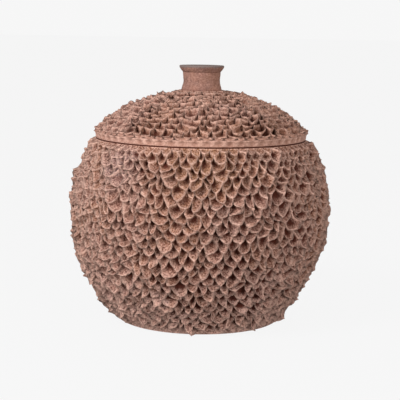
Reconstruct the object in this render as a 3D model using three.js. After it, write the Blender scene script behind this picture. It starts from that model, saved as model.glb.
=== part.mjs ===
import * as THREE from 'three';

// A round clay bowl with a domed lid. The bowl and the lid are carved all over with rows of
// pinched lips, each with a scooped pit under it, as scales lie on a fruit.
// Millimetres, +Z up. The origin is the centre of the flat foot, on the surface it stands on.

// Bowl, measured over the lips of the carving
const bellyRadius = 150.2;
const bellyHeight = 124;
const footRadius = 93;
const mouthHeight = 207;
const rimRadius = 119.3;
const shoulderRadius = 126.8; // where the rim's roll ends
const shoulderDrop = 4; // of the shoulder under the mouth
const lastRowHeight = 7; // of the lowest lips, over the foot
const upperFullness = 2.15; // of the oval over the belly: 2 is an ellipse, more is squarer
const lowerFullness = 1.94; // of the oval under the belly
const bowlWall = 11.5;
const floorThickness = 12;
const coveWidth = 10; // of the curve from the floor up to the wall
const mouthRadius = 106;
const mouthLand = 6; // height of the straight edge inside the mouth
const rimChamfer = 1.2;
const footChamfer = 1.5;

// Lid, measured over the lips of the carving
const domeRadius = 122; // of the oval that the dome is part of, at the seam
const crownHeight = 261;
const crownRadius = 26.5; // of the plain top that carries the knob
const domeFullness = 1.85;
const domeEdgeRadius = 115.5; // where the dome turns out into the band's flare
const bandHeight = 7.2; // of the plain band round the lid's edge, to the scallops along its top
const bandRadius = 121;
const flareHeight = 10.8; // of the peaks between the scallops, over the seam
const flareRadius = 122;
const lidWall = 10;

// Flange under the lid, which keeps it centred in the mouth
const flangeClearance = 1.5;
const flangeThickness = 7;
const flangeDepth = 12;
const flangeTaper = 1;

// Knob
const knobHeight = 28;
const knobFootRadius = 23.4;
const knobWaistRadius = 20.9;
const knobNeckRadius = 21.6; // where the waist meets the flare
const knobLipRadius = 25.6;
const knobLipHeight = 2.4; // of the blunt edge round the top
const knobFlareHeight = 4.8; // of the slope from the neck out to that edge
const knobDish = 1; // how far the top is hollowed
const knobTopEdge = 3.5; // width of the level edge round the dish

// Carving
const cellWidth = 12.4;
const bowlRowPitch = 9.7;
const lidRowPitch = 9;
const pitDepth = 5.4;
const pitUnderTip = 0.7; // how near a pit lies to the tip over it, as a share
const cellWander = 0.48; // how far tips stray about their places, as a share of a cell
const lipWander = 1.8; // how far lips differ in height

// Facets
const outlineSteps = 24;
const wallSegments = 56;
const knobSegments = 40;
const knobRows = 9;
const cellStep = 4; // a row's count of cells is a multiple of this
const insideRows = 8;
const domeInsideRows = 5;
const tie = 1e-6; // share of a step between points that counts as none

// Repeatable scatter from -0.5 to 0.5 for a tip, given its row, its place and what it is for.
function scatter(row, place, use) {
  const value = Math.sin(row * 12.9898 + place * 78.233 + use * 37.719) * 43758.5453;
  return value - Math.floor(value) - 0.5;
}

// Half height of the oval of radius `wide` that has radius `radius` at `height` over its widest line.
function ovalHeight(wide, radius, height, fullness) {
  return height / Math.pow(1 - Math.pow(radius / wide, fullness), 1 / fullness);
}

// Radius of the oval of radius `wide` and half height `half` at `height` over its widest line.
function ovalRadius(wide, half, height, fullness) {
  return wide * Math.pow(1 - Math.pow(Math.abs(height) / half, fullness), 1 / fullness);
}

// How many cells go round a row of this radius.
function cellCount(radius) {
  return cellStep * Math.round((2 * Math.PI * radius) / cellWidth / cellStep);
}

// A closed surface made of rings of points round the Z axis. The rings follow a profile with
// the clay always on the same side, so that every face looks out of the clay.
class Skin {
  constructor() {
    this.points = [];
    this.faces = [];
  }

  point(x, y, z) {
    this.points.push(new THREE.Vector3(x, y, z));
    return this.points.length - 1;
  }

  // `phase` turns the ring by that share of the angle between its points. A ring of one point
  // is a pole on the axis.
  ring(count, radius, height, phase = 0) {
    const made = { count, phase, radius, at: [] };
    for (let i = 0; i < count; i++) {
      const angle = (2 * Math.PI * (i + phase)) / count;
      made.at.push(this.point(radius * Math.cos(angle), radius * Math.sin(angle), height));
    }
    return made;
  }

  pole(height) {
    return this.ring(1, 0, height);
  }

  // The point of ring `before` nearest to the middle of edge `i` of the ring after it. When two
  // are as near, it is the later one.
  facingBefore(before, ring, i) {
    return this.nearest(before, (i + 0.5 + ring.phase) / ring.count, tie);
  }

  // The point of ring `after` nearest to the middle of edge `i` of the ring before it. When two
  // are as near, it is the earlier one.
  facingAfter(after, ring, i) {
    return this.nearest(after, (i + 0.5 + ring.phase) / ring.count, -tie);
  }

  nearest(ring, turn, lean) {
    const place = Math.round(turn * ring.count - ring.phase + lean);
    return ring.at[((place % ring.count) + ring.count) % ring.count];
  }

  edge(ring, i) {
    return [ring.at[i], ring.at[(i + 1) % ring.count]];
  }

  // Plain faces between two rings that follow each other on the profile.
  bridge(before, after) {
    for (let i = 0; i < before.count && before.count > 1; i++) {
      const [left, right] = this.edge(before, i);
      this.faces.push([left, this.facingAfter(after, before, i), right]);
    }
    for (let i = 0; i < after.count && after.count > 1; i++) {
      const [left, right] = this.edge(after, i);
      this.faces.push([this.facingBefore(before, after, i), left, right]);
    }
    return after;
  }

  geometry() {
    const made = new THREE.BufferGeometry().setFromPoints(this.points);
    made.setIndex(this.faces.flat());
    made.computeVertexNormals();
    return made;
  }
}

// A point of a profile curve: its radius, height and outward direction at share `u` of its length.
function onOutline(outline, u) {
  const place = outline.getPointAt(u);
  const along = outline.getTangentAt(u);
  return { radius: place.x, height: place.y, outX: -along.y, outZ: along.x };
}

// Carves the wall that follows `outline` downhill, from the plain ring `top` to a plain ring of
// radius `endRadius` at `endHeight`, beyond the outline. Each row between them is a ring of raised
// tips, half a cell on from the row over it, and `cellsAt` gives its count at a place on the
// outline. Lips join each tip to the two tips over it, and a pit lies in each cell between four
// tips. Returns the plain ring at the end.
function carve(skin, outline, top, rowPitch, cellsAt, endRadius, endHeight) {
  const rows = Math.round(outline.getLength() / rowPitch);
  const rings = [top];
  const heading = [onOutline(outline, 0)];

  for (let row = 1; row <= rows; row++) {
    const middle = onOutline(outline, row / rows);
    const count = cellsAt(middle);
    const ring = { count, phase: (row % 2) / 2, at: [] };
    for (let i = 0; i < count; i++) {
      const down = Math.min(1, (row + cellWander * scatter(row, i, 1)) / rows);
      const angle = (2 * Math.PI * (i + ring.phase + cellWander * scatter(row, i, 2))) / count;
      const here = onOutline(outline, down);
      const lift = lipWander * scatter(row, i, 3);
      const radius = here.radius + here.outX * lift;
      const height = here.height + here.outZ * lift;
      ring.at.push(skin.point(radius * Math.cos(angle), radius * Math.sin(angle), height));
    }
    rings.push(ring);
    heading.push(middle);
  }

  rings.push(skin.ring(rings[rows].count, endRadius, endHeight, ((rows + 1) % 2) / 2));

  for (let i = 0; i < top.count; i++) {
    const [left, right] = skin.edge(top, i);
    skin.faces.push([left, skin.facingAfter(rings[1], top, i), right]);
  }
  for (let row = 1; row <= rows; row++) {
    for (let i = 0; i < rings[row].count; i++) {
      const over = skin.facingBefore(rings[row - 1], rings[row], i);
      const under = skin.facingAfter(rings[row + 1], rings[row], i);
      const [left, right] = skin.edge(rings[row], i);
      const pit = pitBetween(skin, over, left, right, heading[row]);
      skin.faces.push([over, left, pit], [left, under, pit], [under, right, pit], [right, over, pit]);
    }
  }
  const last = rings[rows + 1];
  for (let i = 0; i < last.count; i++) {
    const [left, right] = skin.edge(last, i);
    skin.faces.push([skin.facingBefore(rings[rows], last, i), left, right]);
  }
  return last;
}

// The bottom of a scooped cell: under the tip `over`, between the tips `left` and `right`.
function pitBetween(skin, over, left, right, heading) {
  const side = (1 - pitUnderTip) / 2;
  const place = new THREE.Vector3()
    .addScaledVector(skin.points[over], pitUnderTip)
    .addScaledVector(skin.points[left], side)
    .addScaledVector(skin.points[right], side);
  const angle = Math.atan2(place.y, place.x);
  const inward = new THREE.Vector3(
    -heading.outX * Math.cos(angle),
    -heading.outX * Math.sin(angle),
    -heading.outZ,
  );
  place.addScaledVector(inward, pitDepth);
  return skin.point(place.x, place.y, place.z);
}

// Rings of a smooth inner wall that keeps `wall` inside `outline`, from share `from` to `to`.
function innerWall(skin, outline, wall, from, to, rows) {
  const rings = [];
  for (let row = 0; row <= rows; row++) {
    const { radius, height } = inside(outline, wall, THREE.MathUtils.lerp(from, to, row / rows));
    rings.push(skin.ring(wallSegments, radius, height));
  }
  return rings;
}

// The point that is `wall` inside `outline` at share `u` of its length.
function inside(outline, wall, u) {
  const here = onOutline(outline, u);
  return { radius: here.radius - here.outX * wall, height: here.height - here.outZ * wall };
}

// The share of `outline` where `measure` of the inner wall turns from above zero to below it, or
// the other way.
function crossing(outline, wall, measure) {
  const value = (u) => {
    const { radius, height } = inside(outline, wall, u);
    return measure(radius, height);
  };
  const rising = value(0) < 0;
  let [low, high] = [0, 1];
  while (high - low > tie) {
    const middle = (low + high) / 2;
    if (value(middle) < 0 === rising) low = middle;
    else high = middle;
  }
  return low;
}

// Outside of the bowl from its rim down to the last row of lips: one oval from the shoulder to the
// belly and one under it.
function bowlOutline() {
  const start = mouthHeight - shoulderDrop;
  const upper = ovalHeight(bellyRadius, shoulderRadius, start - bellyHeight, upperFullness);
  const lower = ovalHeight(bellyRadius, footRadius, bellyHeight, lowerFullness);
  const points = [new THREE.Vector2(rimRadius, mouthHeight - rimChamfer)];
  for (let step = 0; step <= outlineSteps; step++) {
    const height = THREE.MathUtils.lerp(start, lastRowHeight, step / outlineSteps);
    const over = height - bellyHeight;
    const [half, fullness] = over > 0 ? [upper, upperFullness] : [lower, lowerFullness];
    points.push(new THREE.Vector2(ovalRadius(bellyRadius, half, over, fullness), height));
  }
  return new THREE.SplineCurve(points);
}

function bowlBody() {
  const skin = new Skin();
  const outline = bowlOutline();
  const mostCells = cellCount(bellyRadius);
  const cellsAt = (here) => (here.height > bellyHeight ? mostCells : cellCount(here.radius));
  const rim = skin.ring(mostCells, rimRadius, mouthHeight - rimChamfer);
  const foot = carve(skin, outline, rim, bowlRowPitch, cellsAt, footRadius, footChamfer);
  const sole = skin.bridge(foot, skin.ring(foot.count, footRadius - footChamfer, 0, foot.phase));
  skin.bridge(sole, skin.pole(0));

  const ledge = mouthHeight - mouthLand;
  const wallEnd = crossing(
    outline,
    bowlWall,
    (radius, height) => radius - mouthRadius + (height - ledge),
  );
  const wall = innerWall(skin, outline, bowlWall, 1, wallEnd, insideRows);
  const lining = [
    skin.ring(wallSegments, wall[0].radius - coveWidth, floorThickness),
    ...wall,
    skin.ring(wallSegments, mouthRadius, ledge),
    skin.ring(wallSegments, mouthRadius, mouthHeight - rimChamfer),
    skin.ring(wallSegments, mouthRadius + rimChamfer, mouthHeight),
    skin.ring(mostCells, rimRadius - rimChamfer, mouthHeight),
    rim,
  ];
  lining.reduce((before, after) => skin.bridge(before, after), skin.pole(floorThickness));
  return skin.geometry();
}

// Outside of the dome, from the edge of its plain crown down to the peaks of the band.
function domeOutline() {
  const rise = crownHeight - mouthHeight;
  const half = ovalHeight(domeRadius, crownRadius, rise, domeFullness);
  const points = [];
  for (let step = 0; step <= outlineSteps; step++) {
    const radius = THREE.MathUtils.lerp(crownRadius, domeEdgeRadius, step / outlineSteps);
    const height = ovalRadius(half, domeRadius, radius, domeFullness);
    points.push(new THREE.Vector2(radius, mouthHeight + height));
  }
  points.push(new THREE.Vector2(flareRadius, mouthHeight + flareHeight));
  return new THREE.SplineCurve(points);
}

const flangeRadius = mouthRadius - flangeClearance;
const lidInnerRadius = flangeRadius - flangeThickness;

function lidDome() {
  const skin = new Skin();
  const outline = domeOutline();
  const crown = skin.ring(cellCount(crownRadius), crownRadius, crownHeight);
  skin.bridge(skin.pole(crownHeight), crown);

  const cellsAt = (here) => cellCount(here.radius);
  const bandTop = mouthHeight + bandHeight;
  const band = carve(skin, outline, crown, lidRowPitch, cellsAt, bandRadius, bandTop);
  const domeStart = crossing(outline, lidWall, (radius) => radius - lidInnerRadius);
  const rest = [
    skin.ring(band.count, rimRadius, mouthHeight + rimChamfer, band.phase),
    skin.ring(band.count, rimRadius - rimChamfer, mouthHeight, band.phase),
    skin.ring(wallSegments, lidInnerRadius, mouthHeight),
    ...innerWall(skin, outline, lidWall, domeStart, 0, domeInsideRows),
    skin.pole(crownHeight - lidWall),
  ];
  rest.reduce((before, after) => skin.bridge(before, after), band);
  return skin.geometry();
}

// Turns a profile of radius and height round the Z axis.
function turned(profile, segments) {
  return new THREE.LatheGeometry(profile, segments).rotateX(Math.PI / 2);
}

function lidFlange() {
  const foot = mouthHeight - flangeDepth;
  const profile = [
    [lidInnerRadius, mouthHeight],
    [lidInnerRadius + flangeTaper, foot],
    [flangeRadius - flangeTaper, foot],
    [flangeRadius, foot + flangeTaper],
    [flangeRadius, mouthHeight],
    [lidInnerRadius, mouthHeight],
  ];
  return turned(profile.map(([radius, height]) => new THREE.Vector2(radius, height)), wallSegments);
}

function lidKnob() {
  const top = crownHeight + knobHeight;
  const neck = top - knobLipHeight - knobFlareHeight;
  const side = new THREE.SplineCurve([
    new THREE.Vector2(knobFootRadius, crownHeight),
    new THREE.Vector2((knobFootRadius + 2 * knobWaistRadius) / 3, (3 * crownHeight + neck) / 4),
    new THREE.Vector2(knobWaistRadius, (crownHeight + neck) / 2),
    new THREE.Vector2(knobNeckRadius, neck),
  ]);
  const lipEdge = knobLipHeight / 3;
  const dishRadius = knobLipRadius - knobTopEdge;
  const profile = [
    new THREE.Vector2(0, crownHeight),
    ...side.getPoints(knobRows),
    new THREE.Vector2(knobLipRadius, top - knobLipHeight),
    new THREE.Vector2(knobLipRadius, top - lipEdge),
    new THREE.Vector2(knobLipRadius - lipEdge, top),
    new THREE.Vector2(dishRadius, top),
    new THREE.Vector2(dishRadius - knobTopEdge, top - knobDish),
    new THREE.Vector2(0, top - knobDish),
  ];
  return turned(profile, knobSegments);
}

const clay = { color: 0xb08a7a, roughness: 0.9, metalness: 0 };
const smoothClay = { color: 0xb89283, roughness: 0.8, metalness: 0 };

function piece(name, geometry, look) {
  const made = new THREE.Mesh(geometry, new THREE.MeshStandardMaterial(look));
  made.name = name;
  return made;
}

const lid = new THREE.Group();
lid.add(piece('lid_dome', lidDome(), clay));
lid.add(piece('lid_flange', lidFlange(), smoothClay));
lid.add(piece('lid_knob', lidKnob(), smoothClay));

const lidded_bowl = new THREE.Group();
lidded_bowl.add(piece('bowl_body', bowlBody(), clay));
lidded_bowl.add(lid);

export default lidded_bowl;
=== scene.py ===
import math
import bmesh
import bpy
import numpy as np
from mathutils import Matrix, Vector, noise


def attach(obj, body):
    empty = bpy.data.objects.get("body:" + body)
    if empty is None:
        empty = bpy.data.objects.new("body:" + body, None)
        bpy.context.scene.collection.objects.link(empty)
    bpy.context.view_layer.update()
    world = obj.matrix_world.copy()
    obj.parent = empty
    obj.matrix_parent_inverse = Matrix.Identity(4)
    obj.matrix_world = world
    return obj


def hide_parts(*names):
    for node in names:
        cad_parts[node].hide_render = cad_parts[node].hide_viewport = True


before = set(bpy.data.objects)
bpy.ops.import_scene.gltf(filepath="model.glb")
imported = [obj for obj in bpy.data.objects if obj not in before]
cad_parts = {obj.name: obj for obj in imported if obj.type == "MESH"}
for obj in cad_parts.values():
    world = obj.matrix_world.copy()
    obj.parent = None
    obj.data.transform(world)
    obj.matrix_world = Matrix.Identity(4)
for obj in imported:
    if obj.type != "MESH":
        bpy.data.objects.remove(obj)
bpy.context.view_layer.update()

noise.seed_set(4)  # left unset, Blender's noise differs from run to run

# Bowl, in millimetres, the same as its solid
BELLY_RADIUS = 150.2
BELLY_HEIGHT = 124.0
FOOT_RADIUS = 93.0
FOOT_CHAMFER = 1.5
MOUTH_HEIGHT = 207.0  # of the seam between the bowl and the lid
MOUTH_RADIUS = 106.0
MOUTH_LAND = 6.0  # height of the straight edge inside the mouth
RIM_RADIUS = 119.3
RIM_CHAMFER = 1.2
SHOULDER_RADIUS = 126.8
SHOULDER_DROP = 4.0  # of the shoulder under the seam
LAST_ROW_HEIGHT = 7.0  # of the lowest lips, over the foot
UPPER_FULLNESS = 2.15  # of the oval over the belly: 2 is an ellipse, more is squarer
LOWER_FULLNESS = 1.94  # of the oval under the belly
BOWL_WALL = 11.5
FLOOR_THICKNESS = 12.0
COVE_WIDTH = 10.0  # of the curve from the floor up to the wall

# Lid, in millimetres, the same as its solids
DOME_RADIUS = 122.0
DOME_EDGE_RADIUS = 115.5  # where the dome turns out into the band's flare
DOME_FULLNESS = 1.85
CROWN_HEIGHT = 261.0
CROWN_RADIUS = 26.5  # of the plain top that carries the knob
BAND_HEIGHT = 7.2
BAND_RADIUS = 121.0
FLARE_HEIGHT = 10.8
FLARE_RADIUS = 122.0
LID_WALL = 10.0
LID_INNER_RADIUS = 97.5
FLANGE_RADIUS = 104.5
FLANGE_DEPTH = 12.0
KNOB_HEIGHT = 28.0
KNOB_FOOT = 23.4
KNOB_WAIST = 20.9
KNOB_NECK = 21.6
KNOB_LIP = 25.6

# Lattice of the carving, the same as the solids have
CELL_WIDTH = 12.4
CELL_STEP = 4  # a row's count of cells is a multiple of this
CELL_WANDER = 0.48  # how far tips stray about their places, as a share of a cell
BOWL_PITCH = 9.7  # from row to row
LID_PITCH = 9.0
OUTLINE_STEPS = 24
TIE = 1e-6  # share of a step between points that counts as none

# Sizes of what the solids leave out, in millimetres
ROUND = 1.0  # radius of the worn edges on both sides of the seam
REACH = 150.2  # no lip stands further out from the axis
LOWEST = 0.3  # no part of the carving lies lower
KEPT_CLAY = 1.6  # about the least thickness of wall under a scoop
SCOOP_EASE = 2.2  # over which the deepest scoops level out
FLUTE_DEPTH = 2.2  # of the soft upright dents in the lid's band
SLUMP = (  # heights, and how far the soft bowl leans to one side there
    (0, 2, 6, 14, 23, 33, 42, 51, 61, 70, 79, 89, 98, 107, 126, 144, 154, 180, 204),
    (0, 0, -1.4, -0.6, 0.4, 0.9, -0.4, -0.9, -1.8, -2.0, -1.4, -1.2, 0.6, 0.5, 0.5, 0.0, 0.4, 0.3, 0),
)

# Steps of the curves
CURVE_POINTS = 900
TAIL_POINTS = 30
EVEN_POINTS = 1200
NORMAL_REACH = 2.0  # millimetres over which the normals of an outline are evened out
BOWL_SEGMENTS = 288
LID_SEGMENTS = 240
KNOB_SEGMENTS = 144
MERGE_DISTANCE = 2e-6  # metres between corners that are one

# What each kind of scatter is used for
DOWN, ALONG, OUT, BOW, SAG, DEPTH, TURN, CUP, SWELL, DIRT_AND_SHADE, PROUD = range(1, 12)


def scatter(row, place, use):
    """A fixed value from -0.5 to 0.5 for a place in a row, and for what it is used."""
    value = math.sin(row * 12.9898 + place * 78.233 + use * 37.719) * 43758.5453
    return value - math.floor(value) - 0.5


def oval_height(wide, radius, height, fullness):
    """Half height of the oval, wide at its middle, that has this radius at this height."""
    return height / (1 - (radius / wide) ** fullness) ** (1 / fullness)


def oval_radius(wide, half, height, fullness):
    return wide * (1 - (abs(height) / half) ** fullness) ** (1 / fullness)


def spline(knots, steps):
    """Points of the Catmull-Rom curve through the knots."""
    knots = np.array(knots, float)
    last = len(knots) - 1
    t = np.linspace(0, last, steps)
    i = np.minimum(t.astype(int), last - 1)
    w = (t - i)[:, None]
    p0, p1 = knots[np.maximum(i - 1, 0)], knots[i]
    p2, p3 = knots[i + 1], knots[np.minimum(i + 2, last)]
    v0, v1 = (p2 - p0) / 2, (p3 - p1) / 2
    return (2 * p1 - 2 * p2 + v0 + v1) * w**3 + (3 * p2 - 3 * p1 - 2 * v0 - v1) * w**2 + v0 * w + p1


def corner(x, y, from_angle, to_angle, radius, steps=4):
    """Points of a rounded edge round the centre (x, y), by angle in degrees."""
    angles = np.radians(np.linspace(from_angle, to_angle, steps + 1))
    return [(x + radius * math.cos(a), y + radius * math.sin(a)) for a in angles]


def all_round(segments):
    """Angles of evenly spaced corners round the axis."""
    return np.linspace(0, 2 * math.pi, segments, endpoint=False)


def last_share(holds):
    """The last share of a line, from its start on, at which a test of that share holds."""
    low, high = 0.0, 1.0
    while high - low > 1e-6:
        middle = (low + high) / 2
        if holds(middle):
            low = middle
        else:
            high = middle
    return low


class Outline:
    """A profile that runs downhill by distance, with a straight tail beyond its last row of tips."""

    def __init__(self, knots, tail):
        line = spline(knots, CURVE_POINTS)
        self.length = float(np.hypot(*np.diff(line, axis=0).T).sum())
        tail = np.array(tail, float)
        self.tail = float(np.hypot(*(tail - line[-1])))
        steps = np.linspace(0, 1, TAIL_POINTS)[1:, None]
        line = np.vstack([line, line[-1] + (tail - line[-1]) * steps])
        walked = np.concatenate([[0], np.cumsum(np.hypot(*np.diff(line, axis=0).T))])
        self.s = np.linspace(0, walked[-1], EVEN_POINTS)
        self.r, self.z = np.interp(self.s, walked, line[:, 0]), np.interp(self.s, walked, line[:, 1])
        along = np.stack([np.gradient(self.r), np.gradient(self.z)], 1)
        along /= np.hypot(*along.T)[:, None]
        spread = max(3, int(NORMAL_REACH / (self.s[1] - self.s[0])))
        window = np.hanning(2 * spread + 1)
        window /= window.sum()
        padded = np.pad(along, ((spread, spread), (0, 0)), mode="edge")
        along = np.stack([np.convolve(padded[:, k], window, "valid") for k in (0, 1)], 1)
        along /= np.hypot(*along.T)[:, None]
        self.nr, self.nz = -along[:, 1], along[:, 0]

    def place(self, s, theta, h):
        """The point at a distance down the outline and a height off it, turned round the axis."""
        r = np.interp(s, self.s, self.r) + np.interp(s, self.s, self.nr) * h
        z = np.interp(s, self.s, self.z) + np.interp(s, self.s, self.nz) * h
        return np.stack([r * np.cos(theta), r * np.sin(theta), z], -1)

    def inner(self, wall, share):
        """Radius and height of the point a wall's thickness inside the outline."""
        s = share * self.length
        return (
            float(np.interp(s, self.s, self.r) - np.interp(s, self.s, self.nr) * wall),
            float(np.interp(s, self.s, self.z) - np.interp(s, self.s, self.nz) * wall),
        )


class Skin:
    """Gathers the corners and faces of one piece, with how dark each is with grime and painted shade, and
    how pale with wear and a painted highlight.
    """

    def __init__(self):
        self.points, self.pit, self.lip, self.faces, self.count = [], [], [], [], 0

    def add(self, points, pit=0.0, lip=0.0):
        points = np.asarray(points, float).reshape(-1, 3)
        first = self.count
        self.points.append(points)
        self.pit.append(np.broadcast_to(np.asarray(pit, float).ravel(), len(points)))
        self.lip.append(np.broadcast_to(np.asarray(lip, float).ravel(), len(points)))
        self.count += len(points)
        return np.arange(first, self.count)

    def grid(self, points, pit, lip):
        rows, columns = points.shape[:2]
        at = self.add(points, pit, lip).reshape(rows, columns)
        quads = np.stack([at[:-1, :-1], at[1:, :-1], at[1:, 1:], at[:-1, 1:]], -1)
        self.faces.extend(quads.reshape(-1, 4).tolist())

    def ring(self, theta, radius, height, lip=0.0, pit=0.0, aside=0.0):
        theta = np.asarray(theta, float)
        radius = np.broadcast_to(radius, theta.shape)
        height = np.broadcast_to(height, theta.shape)
        points = np.stack([radius * np.cos(theta) + aside, radius * np.sin(theta), height], -1)
        return {"theta": theta, "at": self.add(points, pit, lip)}

    def bridge(self, before, after):
        """Faces between two rings. Returns the second, to go on from."""
        a, b = before["at"], after["at"]
        if len(a) == len(b):
            quads = np.stack([a, b, np.roll(b, -1), np.roll(a, -1)], -1)
            self.faces.extend(quads.tolist())
        elif len(b) == 1:
            self.faces.extend([int(p), int(b[0]), int(q)] for p, q in zip(a, np.roll(a, -1)))
        elif len(a) == 1:
            self.faces.extend([int(a[0]), int(p), int(q)] for p, q in zip(b, np.roll(b, -1)))
        else:
            self.zip(before, after)
        return after

    def zip(self, before, after):
        """Triangles between two rings whose corners differ in number."""
        turn = 2 * math.pi
        ta, tb = before["theta"] - before["theta"][0], after["theta"] - before["theta"][0]
        start = int(np.argmin(np.abs((tb + math.pi) % turn - math.pi)))
        tb = np.roll(tb, -start) % turn
        if tb[0] > math.pi:
            tb[0] -= turn
        b = np.roll(after["at"], -start)
        a = before["at"]
        ta, tb = np.append(ta, turn), np.append(tb, tb[0] + turn)
        i = j = 0
        while i < len(a) or j < len(b):
            next_a = (ta[i] + ta[i + 1]) / 2 if i < len(a) else math.inf
            next_b = (tb[j] + tb[j + 1]) / 2 if j < len(b) else math.inf
            if next_a <= next_b:
                self.faces.append([int(a[i]), int(b[j % len(b)]), int(a[(i + 1) % len(a)])])
                i += 1
            else:
                self.faces.append([int(a[i % len(a)]), int(b[j]), int(b[(j + 1) % len(b)])])
                j += 1

    def build(self, name, material, body, node):
        mesh = bpy.data.meshes.new(name)
        mesh.from_pydata((np.vstack(self.points) / 1000).tolist(), [], self.faces)
        for label, values in (("pit", self.pit), ("lip", self.lip)):
            layer = mesh.attributes.new(label, "FLOAT", "POINT")
            layer.data.foreach_set("value", np.concatenate(values).astype(np.float32))
        bm = bmesh.new()
        bm.from_mesh(mesh)
        bmesh.ops.remove_doubles(bm, verts=bm.verts, dist=MERGE_DISTANCE)
        open_edges = sum(1 for e in bm.edges if not e.is_manifold)
        bm.to_mesh(mesh)
        bm.free()
        mesh.shade_smooth()
        mesh.update()
        print(name, len(mesh.vertices), "corners", open_edges, "open edges")
        obj = bpy.data.objects.new(name, mesh)
        bpy.context.scene.collection.objects.link(obj)
        obj.data.materials.append(material)
        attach(obj, body)
        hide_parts(node)


# How a carving is cut, in millimetres and shares. "cup", "depth", "lift" and "dirt_and_shade" have values
# from the top row to the bottom row.
BOWL_STYLE = {
    "pitch": BOWL_PITCH,
    "lines": (0, 0.055, 0.18, 0.38, 0.64, 0.87, 1),  # shares of a cell where its corners lie
    "plump": (0, 0.28, 0.66, 1, 0.62, 0.32, 0),  # how deep the pit over a plump scale is there
    "open": (0, 0.28, 0.66, 1, 0.92, 0.5, 0),  # how deep an open cup is there
    "swollen": (0, 0, 0, 0.2, 0.9, 1, 0),  # how far a scale swells out there
    "cup": (0.95, 0.85, 0.6, 0.5, 0.5),  # from 0, a plump scale, to 1, an open cup
    "depth": (5.8, 9.6),  # of the scoops
    "swell": 0.5,  # of the scales
    "lean": (0.42, 0.4),  # of the scoops up under the lips, and its growth where the wall faces up
    "bow": 1.12,  # how round the U of a lip is, where 0 is a V
    "sag": 1.2,  # of a lip between its tips
    "lift": (-2.1, -3.5, -2.9, -2.5, -2.4, -2.7, -3.2, -3.5, 0.8),  # of the tips off the outline
    "wander": 5.4,  # scatter of that lift
    "proud": 4.6,  # how much further out a few tips stand
    "rough": 1.35,  # height of the small bumps
    "trench": 2.2,  # depth of the grooves under the lips
    "hug": 0.35,  # share of that depth near the top of a cell
    "slot": 2.2,  # depth of the gap at the top of each cell in the first row
    "start": 0.2,  # depth of the half-cells along the top, as a share of the scoops' depth
    "end_depth": 0.0,  # of the half-cells along the bottom
    "dirt_and_shade": (0.72, 0.66, 0.72, 0.9, 1.1),  # how dark the scoops are with dirt and painted shade, darker towards the bottom
    "dirt_and_shade_rate": 1.25,  # how soon a scoop is dark all through with dirt and painted shade as it gets deeper
    # Shares of the way down a cell, and how much of its dirt and painted shade shows there
    "dirt_and_shade_profile": ((0, 0.1, 0.25, 0.42, 0.55, 0.66, 0.8), (0.2, 0.4, 1, 1, 0.55, 0.2, 0)),
    "bare_edge": 0.02,  # width of the edge along a lip with no dirt and no painted shade, as a share of a cell
    "rim": 0.92,  # how pale the lips are, with wear and a painted highlight
    "end_pale": 0.0,  # how pale the half-cells along the bottom are: a painted highlight
    "slump": SLUMP,
}
LID_STYLE = {
    "pitch": LID_PITCH,
    "lines": (0, 0.04, 0.12, 0.25, 0.42, 0.62, 0.8, 0.93, 1),
    "plump": (0, 0.2, 0.65, 1, 0.97, 0.72, 0.42, 0.16, 0),
    "open": (0, 0.3, 0.75, 1, 0.95, 0.8, 0.6, 0.35, 0),
    "swollen": (0, 0, 0, 0.15, 0.7, 1, 0.85, 0.45, 0),
    "cup": (0.0, 0.0),
    "depth": (5.6, 5.6),
    "swell": 2.8,
    "lean": (0.0, 0.0),
    "bow": 0.86,
    "sag": 1.4,
    "lift": (-0.4, -1.4, -2.0, -1.8, -1.0),
    "wander": 3.4,
    "proud": 1.5,
    "rough": 1.1,
    "trench": 3.2,
    "hug": 1.0,
    "slot": 0.0,
    "start": 0.5,
    "end_depth": 2.8,
    "dirt_and_shade": (0.75, 0.8),
    "dirt_and_shade_rate": 1.2,
    "dirt_and_shade_profile": ((0, 0.08, 0.2, 0.34, 0.48, 0.62, 0.76), (0.4, 0.6, 1, 0.9, 0.5, 0.16, 0)),
    "bare_edge": 0.03,
    "rim": 0.6,
    "end_pale": 0.4,
    "slump": None,
}

# How much the lips and scoops differ, as shares
BOW_SCATTER = 0.35
SAG_SCATTER = 0.7
DEPTH_SCATTER = 0.7
TURN_SCATTER = 0.8
CUP_SCATTER = 0.6
DIRT_AND_SHADE_SCATTER = 0.6

# The curve of a lip from its tip down to the next row, and of its sag
LIP_CURVE = 0.9  # where 1 is a quarter of a circle
SAG_PLACE = 0.6  # under 1, the lowest point lies nearer to the upper tip
SAG_CURVE = 1.5

# What differs in the half-cells over the carving, and in those under it
TOP_BOW = 0.88
END_SAG = 0.25  # at both ends
TOP_DEPTH_SCATTER = 0.5
TOP_CUP = 0.5
TOP_DIRT_AND_SHADE = 1.5
END_DIRT_AND_SHADE = 0.2

# Shares of a cell, and how deep a groove or the gap at its top is there
GROOVE_LENGTH = (0, 0.03, 0.2, 0.4, 0.8, 0.94, 1)
GROOVE_WIDTH = ((0, 0.05, 0.12, 0.26, 0.46), (0, 0.7, 1, 0.75, 0))
GAP_WIDTH = ((0, 0.03, 0.2, 0.42), (0, 1, 1, 0))
# Dirt and painted shade in the grooves under the lips and in the gap at the top of a cell, where shade
# falls
GROOVE_DIRT_AND_SHADE = 0.18  # for each millimetre of depth
GAP_DIRT_AND_SHADE = 0.35
WORN_AND_LIT_UNDER = 0.13  # width of the pale edge, wear and a painted highlight, on the scale that ends in a lip, as a share of its cell
WORN_AND_LIT_OVER = 0.04  # the same on the scale under that lip
PALE_START = 0.15  # share of a cell over which its pale face sets in

# The pushes that a hand gives: scale of the noise, and millimetres
COARSE_PUSH = (0.028, 3.8)
FINE_PUSH = (0.09, 3.2)
LARGE_BUMPS = (0.28, 1.3)
SMALL_BUMPS = (0.55, 0.9)
PUSH_OUT = 0.3  # share of a push that lifts the surface
PUSH_FADE = 12  # distance from the carving's ends over which the pushes die away
LEAST_RADIUS = 20.0  # at which a push along the row is turned to an angle


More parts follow.
